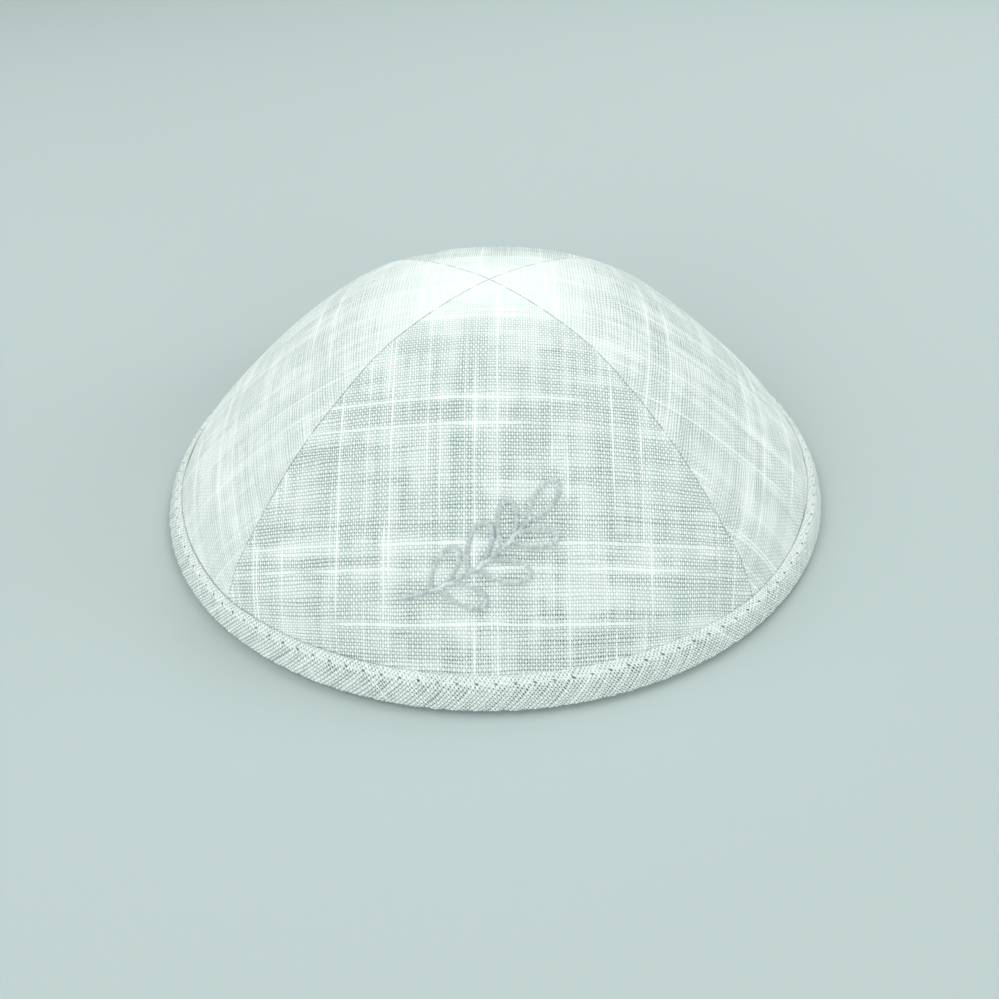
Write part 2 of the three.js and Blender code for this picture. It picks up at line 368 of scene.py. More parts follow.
@dataclass(frozen=True)
class Weave:
    """A plain weave of slubbed linen: its threads, its gaps and the colours of both, with painted light and
    shade on the threads and painted shade in the gaps.
    """

    warp_spacing: float = 0.52 * MM
    weft_spacing: float = 0.75 * MM
    warp_fill: float = 0.52  # thickness of a thread, as a share of the spacing
    weft_fill: float = 0.76
    warp_stand: float = 0.82  # how high the threads of a set stand where they cross halfway
    weft_stand: float = 0.52
    sway: float = 0.2  # how much higher and lower they get over and under each other
    warp_wander: float = 0.9  # how far a thread strays from its place, in threads
    weft_wander: float = 1.2
    wander_change: float = 0.3  # how fast the straying changes from one thread to the next
    warp_wander_run: float = 0.05  # and along a thread
    weft_wander_run: float = 0.035
    fill_spread: float = 0.24
    swell_run: float = 0.12  # how fast a thread's thickness changes along it
    slub_fill: float = 0.16  # how much thicker a slub is
    slub_share: float = 0.15  # of all threads
    slub_run: float = 0.025  # how fast a slub comes and goes along its thread
    slub_ends: tuple[float, float] = (0.4, 0.56)  # of the noise, from none to a full slub
    slub_light: float = 0.42
    plain_light: float = 0.95  # how light a thread is that is no slub
    crossing_shade: float = 0.9  # how much duller, in painted shade, it is where it dips
    cross_lean: float = 0.5  # of the two diagonals that the crossings make, the fainter one's share; the painted shade leans one way as if lit from one side
    calm: float = 0.2  # the share of the threads' light and shade that stays where the cloth is closed
    cover: tuple[float, float] = (0.04, 0.34)  # heights, from the bare gap to the full thread
    lit: tuple[float, float] = (0.1, 0.8)  # heights, from full shade to full light
    relief: float = 0.1 * MM
    # thread is a thread's colour in full painted light and shaded its colour in painted shade; crowns and the
    # threads on top at each crossing take the light one
    thread: tuple[float, ...] = rgba(254, 253, 251)
    shaded: tuple[float, ...] = rgba(186, 198, 192)
    # painted shade seen through the gaps between the threads
    gap: tuple[float, ...] = rgba(84, 100, 96)
    roughness: float = 0.93
    sheen: float = 0.12

    def threads(
        self, tree: ShaderTree, across: Number, along: Number, fullness: float, seed: float
    ) -> tuple[Number, Number, Number]:
        """One of the two sets of threads.

        Args:
            tree: the material's tree.
            across: the place across the threads, in threads.
            along: the place along them, in threads.
            fullness: the share of their spacing that the threads fill.
            seed: what makes this set differ from the other.

        Returns:
            Each thread's round profile, its number, and how much of a slub it is.
        """
        number = across.floor()
        chance = tree.chance(number + seed)
        slub = chance.step(1 - self.slub_share, 1 - self.slub_share / 2)
        slub = slub * tree.noise(number * SLUB_STRIDE + seed, along * self.slub_run).step(*self.slub_ends)
        swell = tree.noise(number * SWELL_STRIDE + seed, along * self.swell_run)
        fill = fullness + self.fill_spread * (chance + swell - 1.0) + self.slub_fill * slub
        place = (across - number - 0.5) * 2.0 / fill
        profile = (1.0 - place * place).highest(0.0).root()
        return profile, number, slub

    def cloth(self, tree: ShaderTree, u: Number, v: Number, openness: Number) -> tuple[Any, Number]:
        """The woven surface.

        Args:
            tree: the material's tree.
            u: metres across the warp.
            v: metres along it.
            openness: how far the gaps between the threads, in painted shade, show, and the threads' painted
                light and shade with them, from 0 to 1.

        Returns:
            The colour's link, and the height in metres.
        """
        across = u / self.warp_spacing
        along = v / self.weft_spacing
        stray = tree.noise(across * self.wander_change, along * self.warp_wander_run, WANDER_DETAIL)
        warp_at = across + (stray - 0.5) * self.warp_wander
        stray = tree.noise(
            across * self.weft_wander_run + WANDER_SEED, along * self.wander_change, WANDER_DETAIL
        )
        weft_at = along + (stray - 0.5) * self.weft_wander
        warp, warp_number, warp_slub = self.threads(tree, warp_at, weft_at, self.warp_fill, WARP_SEED)
        weft, weft_number, weft_slub = self.threads(tree, weft_at, warp_at, self.weft_fill, WEFT_SEED)
        warp_lift = ((weft_at - 0.5 + warp_number) * math.pi).cosine()
        weft_lift = ((warp_at + 0.5 + weft_number) * math.pi).cosine()
        warp_high = warp * (self.warp_stand + self.sway * warp_lift)
        weft_high = weft * (self.weft_stand + self.sway * weft_lift)
        height = warp_high.highest(weft_high)
        slub = warp_slub.highest(weft_slub)
        # painted light and shade: the threads on top at each crossing are lighter and those that dip darker,
        # more along one diagonal as if lit from one side
        down = ((weft_at - warp_at) * math.pi).cosine()
        up = ((weft_at + warp_at) * math.pi).cosine()
        crossing = 0.5 - (down - self.cross_lean * up) * (0.5 / (1.0 + self.cross_lean))
        lit = height.step(*self.lit) * self.plain_light * (1.0 - self.crossing_shade * crossing)
        lit = (lit + self.slub_light * slub).lowest(1.0)
        modelled = openness.at_least(self.calm)
        fibre = tree.blend(1.0 - (1.0 - lit) * modelled, self.shaded, self.thread)
        # the gaps take the painted shade colour, as far as the cloth is open
        shown = 1.0 - (1.0 - height.step(*self.cover)) * openness
        return tree.blend(shown, self.gap, fibre), height * modelled * self.relief


@dataclass(frozen=True)
class PanelLinen(Weave):
    """The panels' linen, cut on the grain, with painted shade in the seams' grooves and in the needle's pricks
    along them.
    """

    full_openness: float = 1.0  # how open the cloth gets towards the rim
    least_openness: float = 0.12
    lighter_top_start: float = 3.0 * MM  # how far down from the apex the painted shade of the gaps and threads stays faint, so that the top is lighter
    lighter_top_end: float = 40.0 * MM  # how far down that painted shade reaches its full strength
    warp_bands: tuple[float, float] = (3.0 * MM, 32.0 * MM)  # across and along, of looser and closer cloth
    weft_bands: tuple[float, float] = (32.0 * MM, 4.0 * MM)
    patch: float = 12.0 * MM
    patch_openness: float = 0.52  # of the closest patches
    patch_ends: tuple[float, float] = (0.38, 0.58)  # of the noise, from the closest to the loosest
    seam_core: float = 0.04 * MM
    seam_reach: float = 0.19 * MM
    seam_change: float = 3.0 * MM  # how far apart the seam's line comes and goes
    seam_ends: tuple[float, float] = (0.3, 0.6)
    seam_fade: tuple[float, float] = (60.0 * MM, 88.0 * MM)  # down from the apex, where its line grows faint
    seam_loss: float = 0.5
    prick_spacing: float = 2.3 * MM
    prick_core: float = 0.08 * MM
    prick_reach: float = 0.3 * MM
    prick_change: tuple[float, float] = (9.0 * MM, 30.0 * MM)  # how far apart pricks show more and less
    prick_ends: tuple[float, float] = (0.4, 0.65)
    prick_strength: float = 0.75
    # painted shade in the seams' grooves and the needle's pricks
    seam_shade: tuple[float, ...] = rgba(150, 165, 160)

    def material(self, name: str) -> bpy.types.Material:
        """Makes the material.

        Args:
            name: its name.

        Returns:
            The material.
        """
        tree = ShaderTree(name)
        u, v = tree.map_axes(CLOTH_MAP)
        from_seam, along_seam = tree.map_axes(EDGE_MAP)
        warp_bands = tree.noise(u / self.warp_bands[0], v / self.warp_bands[1])
        weft_bands = tree.noise(u / self.weft_bands[0] + BAND_SEED, v / self.weft_bands[1])
        patches = (tree.noise(u / self.patch, v / self.patch) + (warp_bands + weft_bands)) / 3.0
        # painted light: less painted shade in the gaps and threads towards the apex, so the top is lighter
        away = v.step(self.lighter_top_start, self.lighter_top_end) * self.full_openness
        looseness = patches.step(*self.patch_ends).at_least(self.patch_openness)
        openness = (away * looseness).at_least(self.least_openness)
        colour, relief = self.cloth(tree, u, v, openness)
        # painted shade: darker in the needle's pricks along each seam and in the groove where the panels meet,
        # fainter further down
        turn = along_seam / self.prick_spacing
        beside = (turn - turn.nearest()).abs() * self.prick_spacing
        apart = (beside * beside + from_seam * from_seam).root()
        prick = (1.0 - apart.step(self.prick_core, self.prick_reach)) * self.prick_strength
        prick = prick * tree.noise(
            along_seam / self.prick_change[0], u / self.prick_change[1]
        ).step(*self.prick_ends)
        parting = 1.0 - from_seam.step(self.seam_core, self.seam_reach)
        parting = parting * tree.noise(along_seam / self.seam_change, SEAM_SEED).step(*self.seam_ends)
        parting = parting * (1.0 - self.seam_loss * along_seam.step(*self.seam_fade))
        colour = tree.blend(prick.highest(parting), colour, self.seam_shade)
        return tree.finish(colour, self.roughness, relief, self.sheen)


@dataclass(frozen=True)
class BindingLinen(Weave):
    """The binding's linen, cut on the bias, with the needle's holes along its stitched line in painted shade.
    """

    warp_spacing: float = 0.5 * MM
    weft_spacing: float = 0.7 * MM
    warp_fill: float = 0.48
    weft_fill: float = 0.64
    slub_share: float = 0.03
    fill_spread: float = 0.13
    slub_light: float = 0.2
    patch: float = 5.0 * MM
    patch_openness: float = 0.75  # of the closest patches
    patch_ends: tuple[float, float] = (0.3, 0.7)  # of the noise, from the closest to the loosest
    stitch_spacing: float = 4.03 * MM
    stitch_line: float = 5.0 * MM
    drag_lean: float = -0.85  # how far a pull of the stitches leans along the rim on its way down
    drag_smooth: float = 0.4
    drag_wave: tuple[float, float] = (0.1, 1.0)  # of the wave along the rim, from a pull's edge to its crest
    drag_start: float = 0.8 * MM  # below the stitched line
    drag_ends: tuple[float, float] = (0.35, 0.6)
    lip_smooth: float = 0.45  # above the stitched line
    lip_fade: tuple[float, float] = (0.1 * MM, 0.7 * MM)
    smooth_loss: float = 0.85  # how much less open the cloth is where it is smooth
    hole_length: float = 0.52 * MM
    hole_width: float = 0.23 * MM
    hole_slant: float = math.radians(-22)
    hole_ends: tuple[float, float] = (0.3, 1.15)  # from the hole's floor to its edge
    hole_least: float = 0.75  # strength of the faintest
    hole_depth: float = 0.1 * MM
    # painted shade in the needle's holes
    shaded_hole: tuple[float, ...] = rgba(64, 80, 76)

    def material(self, name: str) -> bpy.types.Material:
        """Makes the material.

        Args:
            name: its name.

        Returns:
            The material.
        """
        tree = ShaderTree(name)
        s, t = tree.map_axes(CLOTH_MAP)
        bias = math.sqrt(0.5)
        patches = tree.noise(s / self.patch, t / self.patch)
        below = self.stitch_line - t
        wave = ((s - self.drag_lean * below) / self.stitch_spacing * FULL_TURN).cosine()
        pull = self.drag_smooth * wave.step(*self.drag_wave) * below.step(0.0, self.drag_start)
        pull = pull * patches.step(*self.drag_ends)
        smooth = pull.highest(self.lip_smooth - self.lip_smooth * below.step(*self.lip_fade))
        openness = patches.step(*self.patch_ends).at_least(self.patch_openness)
        openness = openness * (1.0 - self.smooth_loss * smooth)
        colour, relief = self.cloth(tree, (s + t) * bias, (s - t) * bias, openness)
        turn = s / self.stitch_spacing
        ahead = (turn - turn.nearest()) * self.stitch_spacing
        up = t - self.stitch_line
        cosine = math.cos(self.hole_slant)
        sine = math.sin(self.hole_slant)
        long_way = (ahead * cosine + up * sine) / self.hole_length
        short_way = (up * cosine - ahead * sine) / self.hole_width
        shaded_hole = 1.0 - (long_way * long_way + short_way * short_way).step(*self.hole_ends)
        shaded_hole = shaded_hole * tree.chance(turn.nearest()).at_least(self.hole_least)
        # the needle's holes are darkened with painted shade and sunk a little
        colour = tree.blend(shaded_hole, colour, self.shaded_hole)
        return tree.finish(colour, self.roughness, relief - shaded_hole * self.hole_depth, self.sheen)


@dataclass(frozen=True)
class Thread:
    """Sewing or embroidery thread."""

    colour: tuple[float, ...]
    # painted shade on the core between the stitches, and mixed in at random on the stitches
    shaded: tuple[float, ...]
    roughness: float
    sheen: float

    def material(self, name: str) -> bpy.types.Material:
        """Makes the material, a little lighter or darker from one stitch to the next, with painted shade on
        the core between them.

        Args:
            name: its name.

        Returns:
            The material.
        """
        tree = ShaderTree(name)
        shade = tree.node("ShaderNodeAttribute", {"attribute_name": SHADE_ATTRIBUTE}, {})
        colour = tree.blend(tree.value_of(shade, "Fac"), self.shaded, self.colour)
        return tree.finish(colour, self.roughness, None, self.sheen)


@dataclass(frozen=True)
class TableTop:
    """The plain pale surface that the cap stands on."""

    colour: tuple[float, ...] = rgba(184, 192, 191)
    roughness: float = 0.9

    def material(self, name: str) -> bpy.types.Material:
        """Makes the material.

        Args:
            name: its name.

        Returns:
            The material.
        """
        return ShaderTree(name).finish(self.colour, self.roughness, None, 0.0)


@dataclass(frozen=True)
class ProfileRow:
    """One height of the crown: shares of its height and half width, and how square its section is."""

    height: float
    seam: float
    square: float


CROWN_ROWS = (
    ProfileRow(1.0, 0.0, 0.43),
    ProfileRow(0.99, 0.115, 0.44),
    ProfileRow(0.96, 0.248, 0.44),
    ProfileRow(0.9, 0.393, 0.46),
    ProfileRow(0.8, 0.52, 0.5),
    ProfileRow(0.66, 0.662, 0.51),
    ProfileRow(0.52, 0.77, 0.46),
    ProfileRow(0.38, 0.86, 0.39),
    ProfileRow(0.26, 0.928, 0.33),
    ProfileRow(0.12, 0.976, 0.22),
    ProfileRow(0.0, 1.0, 0.0),
)


def smooth_rows(rows: Sequence[ProfileRow], steps: int) -> Array:
    """A centripetal Catmull-Rom curve through the rows, mirrored at the apex so that it is level there.

    Args:
        rows: the profile from the apex down.
        steps: samples between two rows.

    Returns:
        Samples of seam, height and square, equally spaced in the share of the way down.
    """
    half = np.array([(r.seam, r.height, r.square) for r in rows])
    points = np.vstack([half[:0:-1] * (-1, 1, 1), half])
    points = np.vstack([points, 2 * points[-1] - points[-2]])
    apex = len(rows) - 1
    share = np.arange(steps)[:, None] / steps
    samples = []
    for i in range(apex, apex + len(rows) - 1):
        p0, p1, p2, p3 = points[i - 1 : i + 3]
        d0, d1, d2 = (math.sqrt(np.linalg.norm(b - a)) for a, b in ((p0, p1), (p1, p2), (p2, p3)))
        start = ((p1 - p0) / d0 - (p2 - p0) / (d0 + d1) + (p2 - p1) / d1) * d1
        end = ((p2 - p1) / d1 - (p3 - p1) / (d1 + d2) + (p3 - p2) / d2) * d1
        square = 3 * (p2 - p1) - 2 * start - end
        cube = 2 * (p1 - p2) + start + end
        samples.append(p1 + share * (start + share * (square + share * cube)))
    return np.vstack([*samples, points[apex + len(rows) - 1][None]])


@dataclass
class Crown:
    """The outer face of the crown, carried down to the table."""

    half_width: float
    half_length: float
    height: float
    wall: float = 1.0 * MM
    steps_per_row: int = 200
    probe: float = 1e-3  # how far apart the face is sampled for its slope
    halvings: int = 40  # of the way, in the search for a point on the face
    table: Array = field(init=False)
    downs: Array = field(init=False)

    def __post_init__(self) -> None:
        """Samples the profile."""
        self.table = smooth_rows(CROWN_ROWS, self.steps_per_row)
        self.downs = np.linspace(0.0, 1.0, len(self.table))

    @classmethod
    def of_frame(cls) -> "Crown":
        """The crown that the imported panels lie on.

        Returns:
            The crown, with its height and half widths read from the panels' boxes.
        """
        low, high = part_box(Side.FRONT.node)
        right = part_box(Side.RIGHT.node)[1].x
        set_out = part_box(Side.RIGHT.node)[0].x
        model = cls(1.0, 1.0, high.z)
        at_foot = model.point(np.array(0.0), model.down_at(np.array(low.z + model.wall / 2)))[0]
        return cls((right - set_out) / at_foot, (-low.y - set_out) / at_foot, high.z)

    def profile(self, down: Array) -> tuple[Array, Array, Array]:
        """The seam, height and square shares at a share of the way down."""
        return tuple(np.interp(down, self.downs, self.table[:, i]) for i in range(3))

    def down_at(self, z: Array) -> Array:
        """The share of the way down at which the crown has a height above the table."""
        return np.interp(-z / self.height, -self.table[:, 1], self.downs)

    def point(self, azimuth: Array, down: Array) -> Array:
        """Points of the face.

        Args:
            azimuth: their azimuths.
            down: their shares of the way down from the apex.

        Returns:
            The points, with x, y and z along the last axis.
        """
        seam, height, square = self.profile(down)
        from_middle = azimuth - QUARTER_TURN * np.round(azimuth / QUARTER_TURN)
        flatter = np.cos(square * QUARTER_TURN / 2) / np.cos(square * from_middle)
        x = self.half_width * seam * flatter * np.cos(azimuth)
        y = self.half_length * seam * flatter * np.sin(azimuth)
        return np.stack(np.broadcast_arrays(x, y, self.height * height), axis=-1)

    def outward(self, azimuth: Array, down: Array) -> Array:
        """The outward directions in the upright planes through the axis.

        Args:
            azimuth: the points' azimuths.
            down: their shares of the way down from the apex.

        Returns:
            The directions, each of length 1.
        """
        azimuth, down = np.broadcast_arrays(azimuth, down)
        radial = np.stack([np.cos(azimuth), np.sin(azimuth), np.zeros_like(azimuth)], axis=-1)
        above = self.point(azimuth, np.maximum(down - self.probe, 0.0))
        below = self.point(azimuth, np.minimum(down + self.probe, 1.0))
        slope = below - above
        run = (slope * radial).sum(-1)
        drop = -slope[..., 2]
        length = np.hypot(run, drop)
        out = radial * (drop / length)[..., None]
        out[..., 2] = run / length
        return np.where((down == 0)[..., None], (0.0, 0.0, 1.0), out)

    def below(self, start: Array, out: Array) -> Array:
        """Carries drawn points straight back onto the face.

        Args:
            start: the points.
            out: the one direction that they move along.

        Returns:
            The points on the face.
        """
        near = np.full(start.shape[:-1], -self.height / 2)
        far = np.full(start.shape[:-1], self.wall)
        for _ in range(self.halvings):
            middle = (near + far) / 2
            tried = start + middle[..., None] * out
            azimuth = np.arctan2(tried[..., 1] / self.half_length, tried[..., 0] / self.half_width)
            face = self.point(azimuth, self.down_at(tried[..., 2]))
            outside = np.hypot(tried[..., 0], tried[..., 1]) > np.hypot(face[..., 0], face[..., 1])
            far = np.where(outside, middle, far)
            near = np.where(outside, near, middle)
        return start + ((near + far) / 2)[..., None] * out

    def normal_at(self, points: Array) -> Array:
        """The face's outward normals.

        Args:
            points: points on the face.

        Returns:
            The normals there, each of length 1.
        """
        azimuth = np.arctan2(points[..., 1] / self.half_length, points[..., 0] / self.half_width)
        down = self.down_at(points[..., 2])
        turn = self.point(azimuth + self.probe, down) - self.point(azimuth - self.probe, down)
        drop = self.point(azimuth, np.minimum(down + self.probe, 1)) - self.point(azimuth, down - self.probe)
        return unit(np.cross(drop, turn))


def unit(vectors: Array) -> Array:
    """The vectors at length 1."""
    return vectors / np.linalg.norm(vectors, axis=-1, keepdims=True)


def run_length(points: Array) -> Array:
    """The distance along a line of points, from its first."""
    steps = np.linalg.norm(np.diff(points, axis=0), axis=-1)
    return np.concatenate([[0.0], np.cumsum(steps)])


def ripples(place: Array, wavelengths: Sequence[float], seed: int) -> Array:
    """A gentle unevenness made of a few waves.

    Args:
        place: positions, in metres, along the last axis.
        wavelengths: of the waves, in metres.
        seed: what fixes their directions and phases.

    Returns:
        Values about 0, mostly within 1.
    """
    rng = np.random.default_rng(seed)
    total = np.zeros(place.shape[:-1])
    for wavelength in wavelengths:
        heading = unit(rng.normal(size=place.shape[-1]))
        total += np.cos(place @ heading * 2 * math.pi / wavelength + rng.uniform(0, 2 * math.pi))
    return total / math.sqrt(len(wavelengths))


def placed(name: str, data: bpy.types.ID) -> bpy.types.Object:
    """Puts a mesh, a camera or a light into the scene.

    Args:
        name: the new object's name.
        data: the mesh, camera or light.

    Returns:
        The object.
    """
    thing = bpy.data.objects.new(name, data)
    bpy.context.scene.collection.objects.link(thing)
    return thing


def skin_mesh(
    name: str, points: Array, maps: Mapping[str, Array], ring: bool, merge: float = 1e-7
) -> bpy.types.Object:
    """Makes a closed body from sections, each a closed loop.

    Args:
        name: the piece's name.
        points: a section in each row.
        maps: UV maps by name, with one more column than points, and one more row too for a ring.
        ring: True if the last section joins the first, False if the last is closed across its wall.
        merge: vertices closer than this are one.

    Returns:
        The piece, in the scene.
    """
    rows, columns = points.shape[:2]
    spans = rows if ring else rows - 1
    i, j = (a.ravel() for a in np.mgrid[0:spans, 0:columns])
    corners = [(i, j), (i + 1, j), (i + 1, j + 1), (i, j + 1)]
    if not ring:
        k = np.arange(columns // 2 - 1)
        foot = np.full_like(k, rows - 1)
        closing = [(foot, k), (foot, columns - 1 - k), (foot, columns - 2 - k), (foot, k + 1)]
        corners = [(np.append(a, c), np.append(b, d)) for (a, b), (c, d) in zip(corners, closing)]
    faces = np.stack([(a % rows) * columns + b % columns for a, b in corners], axis=-1)
    mesh = bpy.data.meshes.new(name)
    mesh.from_pydata(points.reshape(-1, 3).tolist(), [], faces.tolist())
    for key, grid in maps.items():
        layer = mesh.uv_layers.new(name=key)
        values = np.stack([grid[a, b] for a, b in corners], axis=1)
        layer.data.foreach_set("uv", values.astype(np.float32).ravel())
    closed = bmesh.new()
    closed.from_mesh(mesh)
    bmesh.ops.remove_doubles(closed, verts=closed.verts, dist=merge)
    bmesh.ops.recalc_face_normals(closed, faces=closed.faces)
    closed.to_mesh(mesh)
    closed.free()
    mesh.shade_smooth()
    return placed(name, mesh)


def dress(piece: bpy.types.Object, material: bpy.types.Material | None, slot: Slot, *nodes: str) -> None:
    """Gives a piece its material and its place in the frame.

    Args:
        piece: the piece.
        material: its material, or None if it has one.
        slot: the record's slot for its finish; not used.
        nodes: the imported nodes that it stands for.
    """
    if material is not None:
        piece.data.materials.append(material)
    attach(piece, ROOT)
    if nodes:
        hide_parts(*nodes)
    LOG.info("%s: %d faces", piece.name, len(piece.data.polygons))


@dataclass
class Panel:
    """One linen panel: a curved three-cornered wall that is turned in at its two seams."""

    crown: Crown
    side: Side
    rows: int = 180
    middle_columns: int = 52
    edge_columns: tuple[float, ...] = (0.0, 0.06 * MM, 0.14 * MM, 0.26 * MM, 0.42 * MM, 0.65 * MM, 1.0 * MM)
    sweep_points: int = 241
    line_points: int = 900
    plump: float = 0.2 * MM  # how far the cloth stands off the crown's face
    turn_in: float = 0.3 * MM  # radius of the pressed edge at a seam
    foot_height: float = 1.9 * MM
    waves: tuple[float, ...] = (46 * MM, 31 * MM, 22 * MM, 17 * MM)
    wave_height: float = 0.1 * MM
    wave_start: float = 7 * MM  # how far from a seam the waves reach their height
    pucker_start: float = 14 * MM  # and how far down from the apex the puckers do
    pucker_spacing: float = 2.3 * MM
    pucker_depth: float = 0.025 * MM
    pucker_reach: float = 2.2 * MM
    flat_size: tuple[float, float] = (0.128, 0.098)

    def columns(self, half: float) -> Array:
        """The columns' distances from the first seam.

        Args:
            half: the distance from a seam to the panel's middle at this height.

        Returns:
            The distances across the whole panel.
        """
        edge = np.array(self.edge_columns)
        edge = edge * min(1.0, half / 2 / edge[-1])
        steps = self.middle_columns // 2
        inner = edge[-1] + (half - edge[-1]) * np.arange(1, steps + 1) / steps
        first = np.append(edge, inner)
        return np.append(first, 2 * half - first[-2::-1])

    def grid(self) -> tuple[Array, Array, Array, Array]:
        """Where the columns and rows cross.

        Returns:
            Azimuths, shares of the way down, distances to the nearest seam, and the way down along the seam.
        """
        start = self.side.azimuth - QUARTER_TURN / 2
        foot = float(self.crown.down_at(np.array(self.foot_height)))
        downs = np.linspace(0.0, foot, self.rows + 1)
        sweep = start + np.linspace(0.0, QUARTER_TURN, self.sweep_points)
        seam_run = run_length(self.crown.point(np.array(start), downs))
        azimuths = []
        nearest = []
        for down in downs:
            run = run_length(self.crown.point(sweep, np.array(down)))
            at = self.columns(run[-1] / 2)
            even = np.linspace(sweep[0], sweep[-1], len(at))
            azimuths.append(np.interp(at, run, sweep) if run[-1] > 0 else even)
            nearest.append(np.minimum(at, run[-1] - at))
        azimuth = np.array(azimuths)
        down = np.broadcast_to(downs[:, None], azimuth.shape)
        return azimuth, down, np.array(nearest), np.broadcast_to(seam_run[:, None], azimuth.shape)

    def grain(self, points: Array) -> Array:
        """The cloth's own coordinates: across its grain and along it.

        Args:
            points: points on the panel.

        Returns:
            Metres to the side of the panel's middle line, and metres down that line from the apex.
        """
        azimuth = np.array(self.side.azimuth)
        radial = np.array([math.cos(azimuth), math.sin(azimuth), 0.0])
        tangent = np.array([-math.sin(azimuth), math.cos(azimuth), 0.0])
        line = self.crown.point(azimuth, np.linspace(0.0, 1.0, self.line_points))
        run = run_length(line)
        line_plane = np.stack([line @ radial, line[:, 2]], axis=-1)
        plane = np.stack([points @ radial, points[..., 2]], axis=-1)
        aside = points @ tangent
        cloth = np.empty(points.shape[:-1] + (2,))
        for row, (place, side) in enumerate(zip(plane, aside)):
            apart = np.linalg.norm(place[:, None, :] - line_plane[None], axis=-1)
            depth = apart.min(axis=1)
            size = np.maximum(np.abs(side), TINY)
            # a shallow arc's length, from half its chord and its depth
            cloth[row, :, 0] = side * (1 + 2 / 3 * (depth / size) ** 2)
            cloth[row, :, 1] = run[apart.argmin(axis=1)]
        return cloth

    def build(self, material: bpy.types.Material) -> bpy.types.Object:
        """Builds and dresses the panel.

        Args:
            material: its finish.

        Returns:
            The panel.
        """
        azimuth, down, from_seam, seam_run = self.grid()
        face = self.crown.point(azimuth, down)
        outward = self.crown.outward(azimuth, down)
        within = np.minimum(from_seam, self.turn_in)
        turned = np.sqrt(np.maximum(self.turn_in**2 - (self.turn_in - within) ** 2, 0.0)) - self.turn_in
        calm = 1 - np.exp(-((from_seam / self.wave_start) ** 2))
        waves = self.wave_height * ripples(face, self.waves, self.side.value) * calm
        fade = np.exp(-from_seam / self.pucker_reach) * np.clip(seam_run / self.pucker_start, 0, 1)
        pucker = -self.pucker_depth * fade * (1 + np.cos(2 * math.pi * seam_run / self.pucker_spacing))
        outer = face + outward * (self.plump + turned + waves + pucker)[..., None]
        inner = face + outward * (self.plump - self.crown.wall - turned + waves)[..., None]
        wall = np.concatenate([outer, inner[:, ::-1]], axis=1)
        flat = {CLOTH_MAP: self.grain(face), EDGE_MAP: np.stack([from_seam, seam_run], axis=-1)}
        maps = {key: np.concatenate([at, at[:, ::-1], at[:, :1]], axis=1) for key, at in flat.items()}
        piece = skin_mesh(f"cloth_{self.side.name.lower()}", wall, maps, False)
        dress(piece, material, Slot.LINEN, self.side.node)
        # the mesh's own area, half of both faces, so the sheet's area share is 1 whatever the shape
        return piece


